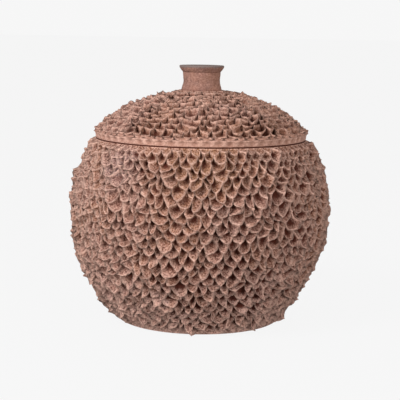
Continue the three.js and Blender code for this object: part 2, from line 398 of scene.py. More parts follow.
class Carving:
    """Staggered rows of raised U-shaped lips, each over a scoop that is deepest under the lips above."""

    def __init__(self, outline, wall, cells_at, style):
        self.outline, self.style = outline, style
        self.lines = np.array(style["lines"])
        self.deepest = KEPT_CLAY - wall
        self.rows = math.floor(outline.length / style["pitch"] + 0.5)
        self.rings = []
        for row in range(0, self.rows + 1):
            level = row / self.rows * outline.length
            here = [float(np.interp(level, outline.s, line)) for line in (outline.r, outline.z)]
            count = cells_at(*here)
            phase = (row % 2) / 2
            if row == 0:
                self.rings.append(self.plain(count, phase, level))
                continue
            tips = []
            for i in range(count):
                down = min(1, (row + CELL_WANDER * scatter(row, i, DOWN)) / self.rows)
                theta = 2 * math.pi * (i + phase + CELL_WANDER * scatter(row, i, ALONG)) / count
                raised = style["wander"] * scatter(row, i, OUT) + self.between("lift", row)
                raised += style["proud"] * max(0.0, 2 * scatter(row, i, PROUD)) ** 2
                tips.append((down * outline.length, theta, raised))
            self.rings.append({"count": count, "phase": phase, "tips": np.array(tips)})
        end_phase = ((self.rows + 1) % 2) / 2
        end_level = outline.length + outline.tail
        self.rings.append(self.plain(self.rings[-1]["count"], end_phase, end_level))
        self.edges = {}

    def between(self, name, row):
        """The style's value at a row."""
        values = self.style[name]
        return float(np.interp(row / self.rows, np.linspace(0, 1, len(values)), values))

    def plain(self, count, phase, level):
        """A level ring of tips that lie on the outline."""
        theta = 2 * math.pi * (np.arange(count) + phase) / count
        tips = np.stack([np.full(count, level), theta, np.zeros(count)], 1)
        return {"count": count, "phase": phase, "tips": tips}

    def tip(self, row, index):
        """The tip at an index that may have gone round past the last one."""
        ring = self.rings[row]
        turns, place = divmod(index, ring["count"])
        return ring["tips"][place] + np.array([0, 2 * math.pi * turns, 0])

    def nearest(self, row, turn, lean):
        """Index of a row's tip nearest to a share of the way round. lean settles a tie."""
        ring = self.rings[row]
        return math.floor(turn * ring["count"] - ring["phase"] + lean + 0.5)

    def edge(self, row, upper, lower):
        """The lip from a tip of a row down to a tip of the next, as corners along self.lines."""
        key = (row, upper % self.rings[row]["count"], lower % self.rings[row + 1]["count"])
        start, end = self.tip(row, upper), self.tip(row + 1, lower)
        t = self.lines
        if key not in self.edges:
            own = key[1] * 2 + key[2]
            bow = self.style["bow"] * (1 + BOW_SCATTER * scatter(row * 3 + 7, own, BOW))
            bow *= TOP_BOW if row == 0 else 1
            side = t + bow * ((1 - np.cos(t * math.pi / 2) ** LIP_CURVE) - t)
            down = t + bow * (np.sin(t * math.pi / 2) ** LIP_CURVE - t)
            sag = self.style["sag"] * (1 + SAG_SCATTER * scatter(row + 31, own, SAG))
            if row == 0 or row == self.rows:
                sag *= END_SAG
            self.edges[key] = (side, down, -sag * np.sin(math.pi * t**SAG_PLACE) ** SAG_CURVE)
        side, down, low = self.edges[key]
        level = start[0] + (end[0] - start[0]) * down
        theta = start[1] + (end[1] - start[1]) * side
        height = start[2] + (end[2] - start[2]) * t + low
        return np.stack([level, theta, height], -1)

    def straight(self, start, end):
        return start + (end - start) * self.lines[:, None]

    def patch(self, skin, edges, depth, turn=0.0, cup=0.0, swell=0.0, pale=0.0, dirt_and_shade=1.0, slot=0.0):
        """One cell, scooped to depth. turn swings the scoop to one side.

        The four edges are the two down from the cell's top to its sides, left and right, and the two
        from its sides down to its bottom. Nothing moves on them, so that neighbours meet.
        pale is how light its face is with a painted highlight, dirt_and_shade how dark its scoop is with
        grime and painted shade, and slot how deep the gap at its top.
        """
        style, t = self.style, self.lines
        top_left, top_right, low_left, low_right = edges
        p, q = t[:, None, None], t[None, :, None]
        corners = (1 - p) * (1 - q) * top_left[0] + p * (1 - q) * top_left[-1]
        corners = corners + (1 - p) * q * top_right[-1] + p * q * low_left[-1]
        across = (1 - q) * top_left[:, None] + q * low_right[:, None]
        across = across + (1 - p) * top_right[None] + p * low_left[None] - corners
        plump, wide, swollen = (np.array(style[name]) for name in ("plump", "open", "swollen"))
        form = plump + (wide - plump) * cup
        scoop = form[:, None] * form[None, :] * (1 + turn * (t[:, None] - t[None, :]))
        facing_up = np.interp(across[..., 0], self.outline.s, self.outline.nz)
        across[..., 0] -= depth * scoop * (style["lean"][0] + style["lean"][1] * facing_up)
        across[..., 2] += swell * swollen[:, None] * swollen[None, :] - depth * scoop

        # Grooves under the two upper edges, and the gap between them
        hug = 1.0 if slot else style["hug"]
        along = np.interp(t, GROOVE_LENGTH, (0, hug, 0.3 + 0.7 * hug, 1, 1, 0.8, 0))
        beside = np.interp(t, *GROOVE_WIDTH)
        groove = np.maximum(beside[:, None] * along[None, :], along[:, None] * beside[None, :])
        groove = style["trench"] * groove * min(1.0, dirt_and_shade)
        gap = np.interp(t, *GAP_WIDTH)
        gap = slot * gap[:, None] * gap[None, :]
        across[..., 2] -= groove + gap

        # Dirt and painted shade in the scoop, the grooves and the gap, and pale clay along the edges from
        # wear and a painted highlight
        low = (t[:, None] + t[None, :]) / 2
        nearer = np.minimum(t[:, None], t[None, :])
        further = np.maximum(t[:, None], t[None, :])
        pit = dirt_and_shade * np.clip(scoop * style["dirt_and_shade_rate"], 0, 1) * np.interp(low, *style["dirt_and_shade_profile"])
        pit = np.maximum(pit, np.maximum(GROOVE_DIRT_AND_SHADE * groove, GAP_DIRT_AND_SHADE * gap))
        pit = pit * np.clip(nearer / style["bare_edge"], 0, 1)
        worn_and_lit_low = np.clip(1 - (1 - further) / WORN_AND_LIT_UNDER, 0, 1)
        worn_and_lit_top = np.clip(1 - nearer / WORN_AND_LIT_OVER, 0, 1)
        worn_and_lit = np.maximum(worn_and_lit_low, worn_and_lit_top)
        bright = np.maximum(style["rim"] * worn_and_lit, pale * np.clip(low / PALE_START, 0, 1))
        skin.grid(self.warped(across), pit, bright)

    def warped(self, across):
        """Points of the surface, with the rows pushed about as a hand would leave them."""
        points = self.outline.place(across[..., 0], across[..., 1], across[..., 2]).reshape(-1, 3)
        total = self.outline.s[-1]
        fade = np.clip(np.minimum(across[..., 0], total - across[..., 0]) / PUSH_FADE, 0, 1).ravel()
        pushed = across.reshape(-1, 3).copy()
        for k, (point, amount) in enumerate(zip(points, fade)):
            if amount == 0:
                continue
            spot = Vector(point)
            push = Vector()
            for scale, reach in (COARSE_PUSH, FINE_PUSH):
                push += noise.noise_vector(spot * scale) * reach
            bumps = sum(noise.noise(spot * scale) * reach for scale, reach in (LARGE_BUMPS, SMALL_BUMPS))
            radius = max(LEAST_RADIUS, math.hypot(point[0], point[1]))
            pushed[k, 0] += amount * push.x
            pushed[k, 1] += amount * push.y / radius
            pushed[k, 2] += amount * (push.z * PUSH_OUT + bumps * self.style["rough"])

        # No scoop reaches through the wall: the deepest level out over the clay that is kept
        deep = np.maximum(self.deepest + SCOOP_EASE - pushed[:, 2], 0)
        pushed[:, 2] += deep - SCOOP_EASE * (1 - np.exp(-deep / SCOOP_EASE))
        done = self.outline.place(pushed[:, 0], pushed[:, 1], pushed[:, 2])
        if self.style["slump"]:
            done[:, 0] += np.interp(done[:, 2], *self.style["slump"])
        done[:, 2] = np.maximum(done[:, 2], LOWEST)
        out = np.hypot(done[:, 0], done[:, 1])
        done[:, :2] *= (np.minimum(out, REACH) / out)[:, None]
        return done.reshape(across.shape)

    def cut(self, skin):
        """Adds every cell, and returns the rings of corners along the top and the bottom."""
        style = self.style
        top, end = self.rings[0], self.rings[-1]
        for i in range(top["count"]):
            left, right = self.tip(0, i), self.tip(0, i + 1)
            under = self.nearest(1, (i + 0.5 + top["phase"]) / top["count"], -TIE)
            middle = (left + right) / 2
            edges = (
                self.straight(middle, left),
                self.straight(middle, right),
                self.edge(0, i, under),
                self.edge(0, i + 1, under),
            )
            depth = style["start"] * style["depth"][0] * (1 + TOP_DEPTH_SCATTER * scatter(0, i, DEPTH))
            self.patch(skin, edges, depth, cup=TOP_CUP, dirt_and_shade=TOP_DIRT_AND_SHADE * style["start"])
        for row in range(1, self.rows + 1):
            ring = self.rings[row]
            for i in range(ring["count"]):
                way_round = (i + 0.5 + ring["phase"]) / ring["count"]
                over = self.nearest(row - 1, way_round, TIE)
                under = self.nearest(row + 1, way_round, -TIE)
                edges = (
                    self.edge(row - 1, over, i),
                    self.edge(row - 1, over, i + 1),
                    self.edge(row, i, under),
                    self.edge(row, i + 1, under),
                )
                cup = self.between("cup", row) + CUP_SCATTER * scatter(row, i, CUP)
                self.patch(
                    skin,
                    edges,
                    self.between("depth", row) * (1 + DEPTH_SCATTER * scatter(row, i, DEPTH)),
                    TURN_SCATTER * scatter(row, i, TURN),
                    min(1.0, max(0.0, cup)),
                    style["swell"] * (1 + scatter(row, i, SWELL)),
                    dirt_and_shade=self.between("dirt_and_shade", row) * (1 + DIRT_AND_SHADE_SCATTER * scatter(row, i, DIRT_AND_SHADE)),
                    slot=style["slot"] if row == 1 else 0.0,
                )
        for i in range(end["count"]):
            left, right = self.tip(self.rows + 1, i), self.tip(self.rows + 1, i + 1)
            over = self.nearest(self.rows, (i + 0.5 + end["phase"]) / end["count"], TIE)
            middle = (left + right) / 2
            edges = (
                self.edge(self.rows, over, i),
                self.edge(self.rows, over, i + 1),
                self.straight(left, middle),
                self.straight(right, middle),
            )
            self.patch(skin, edges, style["end_depth"], pale=style["end_pale"], dirt_and_shade=END_DIRT_AND_SHADE)
        return self.around(top, False), self.around(end, True)

    def around(self, ring, at_end):
        """Angles of the corners along a plain ring, as the cells beside it have them."""
        t = self.lines if at_end else 1 - self.lines[::-1]
        step = 2 * math.pi / ring["count"]
        out = []
        for i in range(ring["count"]):
            left = 2 * math.pi * (i + ring["phase"]) / ring["count"]
            first = left + step / 2 * t
            second = left + step - step / 2 * t[::-1]
            out.extend(first.tolist() + second[1:-1].tolist())
        return np.array(out)


# Materials
def nodes_of(material):
    material.use_nodes = True
    tree = material.node_tree
    tree.nodes.clear()
    return tree


def srgb(r, g, b):
    def one(v):
        v /= 255
        return v / 12.92 if v <= 0.04045 else ((v + 0.055) / 1.055) ** 2.4

    return (one(r), one(g), one(b), 1)


def noise_node(tree, coords, scale, detail, rough, distort=0.0):
    node = tree.nodes.new("ShaderNodeTexNoise")
    node.inputs["Scale"].default_value = scale
    node.inputs["Detail"].default_value = detail
    node.inputs["Roughness"].default_value = rough
    node.inputs["Distortion"].default_value = distort
    tree.links.new(coords, node.inputs["Vector"])
    return node.outputs["Fac"]


def ramp(tree, fac, low, high, to=(0.0, 1.0)):
    """A smooth step from to[0] where fac is low up to to[1] where it is high."""
    node = tree.nodes.new("ShaderNodeMapRange")
    node.interpolation_type = "SMOOTHSTEP"
    tree.links.new(fac, node.inputs["Value"])
    node.inputs["From Min"].default_value = low
    node.inputs["From Max"].default_value = high
    node.inputs["To Min"].default_value = to[0]
    node.inputs["To Max"].default_value = to[1]
    return node.outputs["Result"]


def mix(tree, fac, a, b):
    node = tree.nodes.new("ShaderNodeMix")
    node.data_type = "RGBA"
    for name, value in (("Factor", fac), ("A", a), ("B", b)):
        socket = next(s for s in node.inputs if s.name == name and s.enabled)
        if isinstance(value, tuple):
            socket.default_value = value
        else:
            tree.links.new(value, socket)
    return next(s for s in node.outputs if s.enabled)


def math_node(tree, op, a, b):
    node = tree.nodes.new("ShaderNodeMath")
    node.operation = op
    for k, value in enumerate((a, b)):
        if isinstance(value, (int, float)):
            node.inputs[k].default_value = value
        else:
            tree.links.new(value, node.inputs[k])
    return node.outputs[0]


def distance_node(tree, coords, centre):
    node = tree.nodes.new("ShaderNodeVectorMath")
    node.operation = "DISTANCE"
    tree.links.new(coords, node.inputs[0])
    node.inputs[1].default_value = centre
    return node.outputs["Value"]


def height_node(tree, coords):
    node = tree.nodes.new("ShaderNodeSeparateXYZ")
    tree.links.new(coords, node.inputs[0])
    return node.outputs["Z"]


def attribute_node(tree, name):
    node = tree.nodes.new("ShaderNodeAttribute")
    node.attribute_name = name
    return node.outputs["Fac"]


def clay(name, look, grey=None, stains=(), sides=(), smooth_below=None):
    """Unglazed clay: broad patches, a gritty grain, grime and painted shade in the pits, and lips pale
    with wear and a painted highlight.

    Each of the stains has a centre, a radius, a colour and how strong it is; most are from the kiln, and
    one is partly painted light. Each side where the pits' grime and painted shade is weaker or stronger
    has a centre, a radius and the share of it there. grey has the heights between which the colour
    turns, and the colour. The clay was wiped smooth below a height.
    """
    material = bpy.data.materials.new(name)
    tree = nodes_of(material)
    links = tree.links
    coords = tree.nodes.new("ShaderNodeTexCoord").outputs["Object"]
    patch = noise_node(tree, coords, scale=17, detail=3, rough=0.6, distort=0.6)
    smoke = noise_node(tree, coords, scale=26, detail=4, rough=0.6, distort=0.9)
    mottle = noise_node(tree, coords, scale=120, detail=4, rough=0.65, distort=0.4)
    grit = noise_node(tree, coords, scale=380, detail=3, rough=0.75)
    speck = noise_node(tree, coords, scale=620, detail=2, rough=0.6)

    # The clay's own colours and the kiln's
    colour = mix(tree, ramp(tree, patch, 0.38, 0.62), srgb(*look["warm"]), srgb(*look["cool"]))
    colour = mix(tree, ramp(tree, smoke, 0.5, 0.7, (0, 0.8)), colour, srgb(*look["smoke"]))
    for centre, reach, shade, strength in stains:
        ragged = math_node(tree, "MULTIPLY", math_node(tree, "SUBTRACT", smoke, 0.5), reach * 1.6)
        away = math_node(tree, "ADD", distance_node(tree, coords, centre), ragged)
        colour = mix(tree, ramp(tree, away, reach, reach * 0.35, (0, strength)), colour, srgb(*shade))
    colour = mix(tree, ramp(tree, mottle, 0.35, 0.7, (0, 0.55)), colour, srgb(*look["rose"]))
    for layer, low, high, share, shade in (
        (grit, 0.5, 0.66, look["grit"], look["pale"]),
        (grit, 0.48, 0.34, look["grit"], look["deep"]),
        (speck, 0.515, 0.61, look["speck"], look["deep"]),
        (speck, 0.485, 0.39, look["speck"], look["pale"]),
    ):
        colour = mix(tree, ramp(tree, layer, low, high, (0, share)), colour, srgb(*shade))
    grain = None
    if smooth_below is not None:
        up = height_node(tree, coords)
        wiped = ramp(tree, up, smooth_below + 0.0015, smooth_below, (0, 0.6))
        colour = mix(tree, wiped, colour, srgb(*look["band"]))
        grain = ramp(tree, wiped, 0, 0.6, (look["grain"], look["grain"] * 0.3))

    # Wear and a painted highlight on the lips, and dirt and painted shade in the pits
    lip = attribute_node(tree, "lip")
    worn_and_lit = math_node(tree, "MULTIPLY", lip, ramp(tree, grit, 0.36, 0.6, (0.45, 1)))
    colour = mix(tree, worn_and_lit, colour, srgb(*look["worn_and_lit"]))
    depth = attribute_node(tree, "pit")
    for centre, reach, share in sides:
        away = distance_node(tree, coords, centre)
        kept = ramp(tree, away, reach * 0.5, reach * 1.4, (share, 1))
        depth = math_node(tree, "MULTIPLY", depth, kept)
    dirt_and_shade_level = math_node(tree, "ADD", depth, ramp(tree, grit, 0.3, 0.7, (-0.16, 0.16)))
    colour = mix(tree, ramp(tree, dirt_and_shade_level, 0.1, 0.72, (0, 0.97)), colour, srgb(*look["dirt_and_shade"]))
    if grey is not None:
        wobble = math_node(tree, "MULTIPLY", math_node(tree, "SUBTRACT", mottle, 0.5), 0.006)
        level = math_node(tree, "ADD", height_node(tree, coords), wobble)
        colour = mix(tree, ramp(tree, level, grey[0], grey[1], (0, 0.9)), colour, srgb(*grey[2]))

    # The shader and its grain
    shader = tree.nodes.new("ShaderNodeBsdfPrincipled")
    links.new(colour, shader.inputs["Base Color"])
    links.new(ramp(tree, mottle, 0.3, 0.7, (0.8, 0.94)), shader.inputs["Roughness"])
    shader.inputs["Specular IOR Level"].default_value = 0.12
    relief = math_node(tree, "MULTIPLY", mottle, 4.0)
    for layer, share in ((grit, 1.6), (speck, 0.9)):
        relief = math_node(tree, "ADD", relief, math_node(tree, "MULTIPLY", layer, share))
    bump = tree.nodes.new("ShaderNodeBump")
    bump.inputs["Strength"].default_value = look["grain"]
    if grain is not None:
        links.new(grain, bump.inputs["Strength"])
    bump.inputs["Distance"].default_value = 0.0012
    links.new(relief, bump.inputs["Height"])
    links.new(bump.outputs["Normal"], shader.inputs["Normal"])
    out = tree.nodes.new("ShaderNodeOutputMaterial")
    links.new(shader.outputs[0], out.inputs["Surface"])
    return material


CARVED = {
    "warm": (120, 81, 60), "cool": (111, 78, 68), "smoke": (105, 83, 77), "rose": (126, 87, 76),
    "pale": (152, 119, 105), "deep": (62, 33, 23), "worn_and_lit": (172, 139, 125), "dirt_and_shade": (56, 20, 9),
    "band": (112, 81, 70),
    "grain": 1.0, "grit": 0.75, "speck": 0.8,
}
PLAIN = {
    "warm": (112, 78, 63), "cool": (92, 66, 58), "smoke": (78, 60, 54), "rose": (122, 88, 77),
    "pale": (140, 107, 95), "deep": (68, 40, 30), "worn_and_lit": (152, 120, 108), "dirt_and_shade": (52, 16, 7),
    "grain": 0.25, "grit": 0.4, "speck": 0.25,
}

# Stains and sides, as clay() takes them, in metres
BOWL_STAINS = (
    ((-0.092, -0.104, 0.187), 0.038, (112, 92, 92), 0.9),
    ((0.0, -0.135, 0.195), 0.055, (122, 84, 52), 0.8),
    ((0.057, -0.111, 0.048), 0.045, (110, 86, 82), 0.8),
    ((0.11, 0.09, 0.15), 0.06, (108, 88, 84), 0.8),
    ((-0.09, 0.11, 0.06), 0.06, (122, 82, 56), 0.7),
    # Paler towards the foot: partly the clay's own tone, partly painted light from below
    ((0.0, 0.0, -0.06), 0.215, (140, 112, 104), 1.4),
)
# Sides where the painted shade and dirt in the pits is weaker or stronger as the light falls: weaker on
# the lit left, stronger on the shaded right and low at the front
BOWL_SIDES = (
    ((-0.14, -0.06, 0.13), 0.085, 0.5),
    ((0.135, -0.06, 0.11), 0.1, 1.7),
    ((0.02, -0.12, 0.03), 0.07, 1.3),
)
LID_STAINS = (((0.0, -0.02, 0.262), 0.052, (104, 68, 52), 0.75),)
# The lid's painted shade and dirt is a little weaker at its front
LID_SIDES = (((0.0, -0.1, 0.225), 0.06, 0.85),)
BAND_TOP = 0.2165  # the lid's clay was wiped smooth below it
KNOB_GREY = (0.2856, 0.2882, (82, 73, 70))
LID_SPECK = 0.5

bowl_clay = clay("bowl_clay", CARVED, stains=BOWL_STAINS, sides=BOWL_SIDES)
lid_look = dict(CARVED, speck=LID_SPECK)
lid_clay = clay("lid_clay", lid_look, stains=LID_STAINS, sides=LID_SIDES, smooth_below=BAND_TOP)
flange_clay = clay("flange_clay", PLAIN)
knob_clay = clay("knob_clay", PLAIN, grey=KNOB_GREY)


# Bowl
SEAM_SHADE = (0.9, 0.9, 0.7, 0.2)  # painted shade of the seam round the rim's edge, from the outside in
SOLE_RINGS = (84.0, 60.0, 30.0)
FLOOR_RINGS = (25.0, 50.0, 70.0)
FLOOR_RIPPLE = 0.15
FLOOR_RIPPLE_TURN = 0.7
WALL_RINGS = 44
COVE_RISE = 0.9  # of the cove half way out
SLOPE_SHARES = (0.25, 0.5, 0.75, 0.93)  # of the slope from the wall up to the mouth's straight edge
LAND_START = 0.8
SPIRAL_FADE = ((16, 36, 170, 185), (0, 1, 1, 0))  # heights, and the spiral's share there
SPIRAL_PITCH = 9.5
SPIRAL_DEPTH = 0.228
SPIRAL_INSET = 0.25
UNEVEN_DEPTH = 0.12
UNEVEN_TURN = 0.31


def bowl_knots():
    start = MOUTH_HEIGHT - SHOULDER_DROP
    upper = oval_height(BELLY_RADIUS, SHOULDER_RADIUS, start - BELLY_HEIGHT, UPPER_FULLNESS)
    lower = oval_height(BELLY_RADIUS, FOOT_RADIUS, BELLY_HEIGHT, LOWER_FULLNESS)
    knots = [(RIM_RADIUS, MOUTH_HEIGHT - RIM_CHAMFER)]
    for step in range(OUTLINE_STEPS + 1):
        height = start + (LAST_ROW_HEIGHT - start) * step / OUTLINE_STEPS
        over = height - BELLY_HEIGHT
        half, fullness = (upper, UPPER_FULLNESS) if over > 0 else (lower, LOWER_FULLNESS)
        knots.append((oval_radius(BELLY_RADIUS, half, over, fullness), height))
    return knots


def cell_count(radius):
    return CELL_STEP * math.floor(2 * math.pi * radius / CELL_WIDTH / CELL_STEP + 0.5)


def spiral(z, theta):
    """How far out the thrower's fingers left the inner wall at a height, in millimetres."""
    wave = SPIRAL_DEPTH * np.sin(z * 2 * math.pi / SPIRAL_PITCH + theta)
    uneven = UNEVEN_DEPTH * np.sin(z * UNEVEN_TURN + 3 * theta)
    return np.interp(z, *SPIRAL_FADE) * (wave + uneven - SPIRAL_INSET)


def make_bowl():
    skin = Skin()
    outline = Outline(bowl_knots(), (FOOT_RADIUS, FOOT_CHAMFER))
    most = cell_count(BELLY_RADIUS)
    carving = Carving(
        outline, BOWL_WALL, lambda r, z: most if z > BELLY_HEIGHT else cell_count(r), BOWL_STYLE
    )
    top_theta, end_theta = carving.cut(skin)
    even = all_round(BOWL_SEGMENTS)

    # From the carving up over the rounded rim
    rim = [skin.ring(top_theta, RIM_RADIUS, MOUTH_HEIGHT - RIM_CHAMFER)]
    edge = corner(RIM_RADIUS - ROUND, MOUTH_HEIGHT - ROUND, 0, 90, ROUND)
    for (r, z), pit in zip(edge[1:], SEAM_SHADE):
        rim.append(skin.ring(top_theta, r, z, pit=pit))

    # Down the carving's end to the sole
    foot = skin.ring(end_theta, FOOT_RADIUS, FOOT_CHAMFER)
    for r, z in corner(FOOT_RADIUS - FOOT_CHAMFER, FOOT_CHAMFER, 0, -90, FOOT_CHAMFER)[1:]:
        foot = skin.bridge(foot, skin.ring(end_theta, r, z))
    for r in SOLE_RINGS:
        foot = skin.bridge(foot, skin.ring(even, r, 0.0))
    skin.bridge(foot, skin.ring([0.0], 0.0, 0.0))

    # Inside, from the floor up to the mouth, with the faint spiral of the thrower's fingers
    land = MOUTH_HEIGHT - MOUTH_LAND

    def above_slope(share):
        r, z = outline.inner(BOWL_WALL, share)
        return r - MOUTH_RADIUS + z - land >= 0

    top = last_share(above_slope)
    wall = [outline.inner(BOWL_WALL, 1 + (top - 1) * k / WALL_RINGS) for k in range(WALL_RINGS + 1)]
    start, last = wall[0][0], wall[-1]
    cove = [(start - COVE_WIDTH, FLOOR_THICKNESS), (start - COVE_WIDTH / 2, FLOOR_THICKNESS + COVE_RISE)]
    inside = [skin.ring([0.0], 0.0, FLOOR_THICKNESS)]
    for r in FLOOR_RINGS:
        inside.append(skin.ring(even, r, FLOOR_THICKNESS + FLOOR_RIPPLE * math.sin(r * FLOOR_RIPPLE_TURN)))
    for r, z in cove + wall:
        inside.append(skin.ring(even, r + spiral(z, even), z, aside=np.interp(z, *SLUMP)))
    for share in SLOPE_SHARES:
        r, z = last[0] + (MOUTH_RADIUS - last[0]) * share, last[1] + (land - last[1]) * share
        inside.append(skin.ring(even, r, z))
    inside.append(skin.ring(even, MOUTH_RADIUS, land + LAND_START))
    for r, z in corner(MOUTH_RADIUS + ROUND, MOUTH_HEIGHT - ROUND, 180, 90, ROUND):
        inside.append(skin.ring(even, r, z))
    inside.append(skin.ring(even, (MOUTH_RADIUS + RIM_RADIUS) / 2, MOUTH_HEIGHT))
    inside += rim[::-1]
    for before, after in zip(inside, inside[1:]):
        skin.bridge(before, after)
    skin.build("bowl", bowl_clay, "bowl", "bowl_body")


# Lid
CROWN_RINGS = (16.0, 23.0, CROWN_RADIUS)
BAND_SHARES = (0.25, 0.5, 0.75, 0.92)  # of the band's height, from the top
BAND_OVERHANG = 0.3  # of the band's foot past the bowl's rim
BAND_TOP_HIGHLIGHT = 0.5  # how pale the band is along its top: a painted highlight
BAND_RIDGE_HIGHLIGHT = 0.6  # the same between its dents: a painted highlight on the flutes' ridges
# Painted shade in the band's dents
DENT_SHADE = 0.16
EDGE_LIP = (0.4, 0, 0, 0, 0)  # round the band's lower edge
# Painted shade of the seam round the band's lower edge
EDGE_SHADE = (0, 0, 0.9, 0.9, 0.2)
UNDERSIDE_RING = 112.0
UNDERSIDE_LIP = 0.3
HOLLOW_RINGS = 32
HOLLOW_TOP_RINGS = (16.0, 6.0)
HOLLOW_WAVE = 0.35  # of the spiral in the hollow
HOLLOW_PITCH = 9
HOLLOW_FADE = 10  # width of the plain edge that it dies away over


def dome_knots():
    half = oval_height(DOME_RADIUS, CROWN_RADIUS, CROWN_HEIGHT - MOUTH_HEIGHT, DOME_FULLNESS)
    knots = []
    for step in range(OUTLINE_STEPS + 1):
        radius = CROWN_RADIUS + (DOME_EDGE_RADIUS - CROWN_RADIUS) * step / OUTLINE_STEPS
        knots.append((radius, MOUTH_HEIGHT + oval_radius(half, DOME_RADIUS, radius, DOME_FULLNESS)))
    return knots + [(FLARE_RADIUS, MOUTH_HEIGHT + FLARE_HEIGHT)]


def make_lid():
    skin = Skin()
    outline = Outline(dome_knots(), (BAND_RADIUS, MOUTH_HEIGHT + BAND_HEIGHT))
    carving = Carving(outline, LID_WALL, lambda r, z: cell_count(r), LID_STYLE)
    top_theta, end_theta = carving.cut(skin)
    even = all_round(LID_SEGMENTS)

    # The plain crown
    ring = skin.ring([0.0], 0.0, CROWN_HEIGHT)
    for r in CROWN_RINGS:
        ring = skin.bridge(ring, skin.ring(top_theta, r, CROWN_HEIGHT))

    # The band, its rounded lower edge and the flat underside
    ring = skin.ring(end_theta, BAND_RADIUS, MOUTH_HEIGHT + BAND_HEIGHT, BAND_TOP_HIGHLIGHT)
    # The flutes carry a painted highlight on their ridges and painted shade in their dents
    flutes = np.cos(carving.rings[-1]["count"] * end_theta)
    uneven = np.sin(9 * end_theta + 1.0) * 0.5 + np.sin(23 * end_theta) * 0.5
    dent = (1 - flutes * (0.7 + 0.3 * uneven)) / 2
    for share in BAND_SHARES:
        r = BAND_RADIUS + (RIM_RADIUS + BAND_OVERHANG - BAND_RADIUS) * share
        z = MOUTH_HEIGHT + BAND_HEIGHT + (ROUND - BAND_HEIGHT) * share
        cut = FLUTE_DEPTH * math.sin(math.pi * share) * dent
        after = skin.ring(end_theta, r - cut, z, BAND_RIDGE_HIGHLIGHT - BAND_RIDGE_HIGHLIGHT * dent, DENT_SHADE * dent)
        ring = skin.bridge(ring, after)
    edge = corner(RIM_RADIUS - ROUND, MOUTH_HEIGHT + ROUND, 12, -90, ROUND)
    for (r, z), lip, pit in zip(edge, EDGE_LIP, EDGE_SHADE):
        ring = skin.bridge(ring, skin.ring(end_theta, r, z, lip, pit))
    ring = skin.bridge(ring, skin.ring(even, UNDERSIDE_RING, MOUTH_HEIGHT, UNDERSIDE_LIP))
    ring = skin.bridge(ring, skin.ring(even, LID_INNER_RADIUS, MOUTH_HEIGHT))

    # The hollow
    start = last_share(lambda share: outline.inner(LID_WALL, share)[0] < LID_INNER_RADIUS)
    for k in range(HOLLOW_RINGS + 1):
        r, z = outline.inner(LID_WALL, start * (1 - k / HOLLOW_RINGS))
        wave = HOLLOW_WAVE * np.sin(r * 2 * math.pi / HOLLOW_PITCH + even) - SPIRAL_INSET
        fade = min(1.0, max(0.0, (LID_INNER_RADIUS - r) / HOLLOW_FADE))
        ring = skin.bridge(ring, skin.ring(even, r, z + fade * wave))
    for r in HOLLOW_TOP_RINGS:
        ring = skin.bridge(ring, skin.ring(even, r, CROWN_HEIGHT - LID_WALL))
    skin.bridge(ring, skin.ring([0.0], 0.0, CROWN_HEIGHT - LID_WALL))
    skin.build("lid", lid_clay, "lid", "lid_dome")


# Flange and knob
FLANGE_EDGE = 2  # radius of the flange's lower edges
FLANGE_LEAN = 0.2  # of its outside, inward
FLANGE_INNER_LEAN = 1.2  # of its inside, outward
KNOB_DISH = (  # radii of the hollowed top, and how far under the top they lie
    (0, 0.9), (8.0, 0.9), (15.0, 0.8), (19.0, 0.35), (22.0, 0.05), (23.6, 0)
)
KNOB_EDGE = 1.1  # radius of the lip's edge
KNOB_UNDER_LIP = ((25.1, 2.9), (24.2, 4.3), (23.2, 5.6), (22.3, 6.6), (22.0, 7.0))
KNOB_NECK_DEPTH = 7.2  # of the neck under the top
KNOB_SIDE_ROWS = 26
KNOB_WOBBLE = 0.5
WOBBLE_ROUND = 1.1  # scale of the wobble round the axis, and up it for each millimetre
WOBBLE_UP = 0.16
WOBBLE_INSET = 0.4


def turned(name, profile, segments, material, node, wobble=0.0, closed=False, dark=()):
    """A piece turned round the axis. Its profile goes down the outside and back up the inside.

    Each dark line is painted shade, with a height, a half width and how dark it is.
    """
    skin = Skin()
    even = all_round(segments)
    rings = []
    for r, z in profile:
        if r == 0:
            rings.append(skin.ring([0.0], 0.0, z))
            continue
        shift = np.zeros(segments)
        if wobble:
            for i, theta in enumerate(even):
                x, y = math.cos(theta) * WOBBLE_ROUND, math.sin(theta) * WOBBLE_ROUND
                shift[i] = wobble * (noise.noise(Vector((x, y, z * WOBBLE_UP))) - WOBBLE_INSET)
        pit = sum(amount * max(0.0, 1 - abs(z - height) / half) for height, half, amount in dark)
        rings.append(skin.ring(even, r + shift, z, pit=pit))
    for before, after in zip(rings, rings[1:]):
        skin.bridge(before, after)
    if closed:
        skin.bridge(rings[-1], rings[0])
    skin.build(name, material, "lid", node)


def make_flange():
    foot = MOUTH_HEIGHT - FLANGE_DEPTH
    inner = LID_INNER_RADIUS + FLANGE_INNER_LEAN
    profile = [(FLANGE_RADIUS, MOUTH_HEIGHT), (FLANGE_RADIUS - FLANGE_LEAN / 2, foot + 2 * FLANGE_EDGE)]
    profile += corner(FLANGE_RADIUS - FLANGE_LEAN - FLANGE_EDGE, foot + FLANGE_EDGE, 0, -90, FLANGE_EDGE)
    profile += corner(inner + FLANGE_EDGE, foot + FLANGE_EDGE, -90, -180, FLANGE_EDGE)
    profile += [(LID_INNER_RADIUS, MOUTH_HEIGHT)]
    turned("flange", profile, LID_SEGMENTS, flange_clay, "lid_flange", closed=True)


